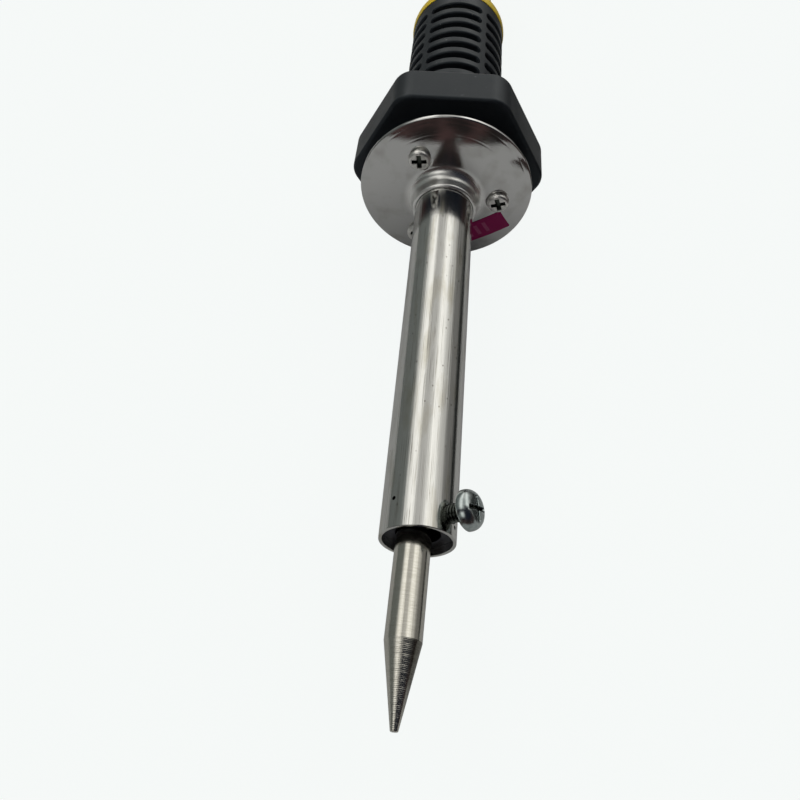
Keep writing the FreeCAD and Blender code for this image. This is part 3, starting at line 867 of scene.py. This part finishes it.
def backdrop_material(name, colour, glow):
    """Pale card that glows a little, so that it stays even."""
    made, tree = new_tree(name)
    card = node(tree, "BsdfDiffuse", Color=(*colour, 1.0))
    light = node(tree, "Emission", Color=(*colour, 1.0), Strength=1.0)
    both = node(tree, "MixShader", Fac=glow, in_1=card.outputs[0], in_2=light.outputs[0])
    output = node(tree, "OutputMaterial")
    tree.links.new(both.outputs[0], output.inputs["Surface"])
    return made


def make_floor():
    """The pale floor and backdrop that the camera sees, and the sheet of paper under the iron
    that its polished faces reflect."""
    pale = (0.951, 0.979, 0.969)
    floor = quad("floor", -4, 4, -4, 4, 0)
    floor.data.materials.append(backdrop_material("floor_card", pale, 0.93))
    seen_by(floor, camera=True)
    size = 3.9
    corners = [(x, y, z) for x in (-size, size) for y in (-size, size) for z in (-0.5, size)]
    faces = [(0, 1, 3, 2), (4, 6, 7, 5), (0, 4, 5, 1), (2, 3, 7, 6), (1, 5, 7, 3)]
    dome = add_mesh("backdrop", corners, faces)
    dome.data.materials.append(backdrop_material("backdrop_card", pale, 1.0))
    seen_by(dome, camera=True)
    paper_card = backdrop_material("paper_card", (0.68, 0.69, 0.70), 0.0)
    for name, x0, x1, y0, y1 in (
            ("paper_behind", -0.139, 0.072, -0.115, 1.5), ("paper_before", -0.7, 0.7, -0.27, -0.115)):
        paper = quad(name, x0, x1, y0, y1, -0.0005)
        paper.data.materials.append(paper_card)
        seen_by(paper, diffuse=True, glossy=True)


def make_world():
    """A soft room: bright panels overhead along the iron, dim walls, and a dark shape that stands
    ahead, leans over the iron and reaches past its right side."""
    world = bpy.data.worlds.new("studio")
    bpy.context.scene.world = world
    world.use_nodes = True
    tree = world.node_tree
    tree.nodes.clear()
    way = node(tree, "TexCoord").outputs["Generated"]
    parts = node(tree, "SeparateXYZ", Vector=way)
    angle = maths(tree, "ARCTAN2", parts.outputs["Z"], parts.outputs["X"])
    share = span(tree, angle, -math.pi, math.pi)
    ramp = node(tree, "ValToRGB", Fac=share)
    warm = (1.0, 0.985, 0.94)
    cool = (0.93, 1.0, 0.95)
    # degrees round the iron, brightness and tint
    room = (
        (-180, 0.17, cool), (-90, 0.10, cool), (-25, 0.03, cool), (-7, 0.03, cool), (-5, 0.20, warm),
        (22, 0.22, warm), (28, 0.60, warm), (43, 0.72, warm), (51, 1.25, warm), (70, 1.5, warm),
        (79, 0.72, warm), (103, 0.58, warm), (111, 1.45, warm), (125, 1.3, warm), (142, 0.19, cool),
        (179, 0.17, cool))
    stops = ramp.color_ramp.elements
    while len(stops) < len(room):
        stops.new(0.5)
    for stop, (degrees, level, tint) in zip(stops, room):
        stop.position = (degrees + 180) / 360
        stop.color = (*(level * c for c in tint), 1.0)
    y = parts.outputs["Y"]
    ahead = span(tree, y, -0.88, -0.80, 1.0, 0.0)
    leaning = maths(tree, "MULTIPLY", span(tree, y, -0.26, -0.20, 1.0, 0.0),
                    span(tree, y, -0.56, -0.50))
    beside = maths(tree, "MULTIPLY", span(tree, y, 0.04, 0.12, 1.0, 0.0),
                   span(tree, parts.outputs["X"], -0.08, 0.04))
    front = maths(tree, "MAXIMUM", maths(tree, "MAXIMUM", ahead, leaning), beside)
    patch = noise(tree, way, 5.0, 2.0)
    low = mixed(tree, span(tree, patch, 0.42, 0.62), (0.020, 0.017, 0.016), (0.080, 0.047, 0.045))
    person = mixed(tree, span(tree, parts.outputs["Z"], 0.15, 0.45), low, (0.015, 0.018, 0.027))
    colour = mixed(tree, front, ramp.outputs["Color"], person)
    background = node(tree, "Background", Color=colour, Strength=1.0)
    output = node(tree, "OutputWorld")
    tree.links.new(background.outputs[0], output.inputs["Surface"])


dress()
make_camera()
make_floor()
make_world()
bpy.context.scene.view_settings.view_transform = "Standard"
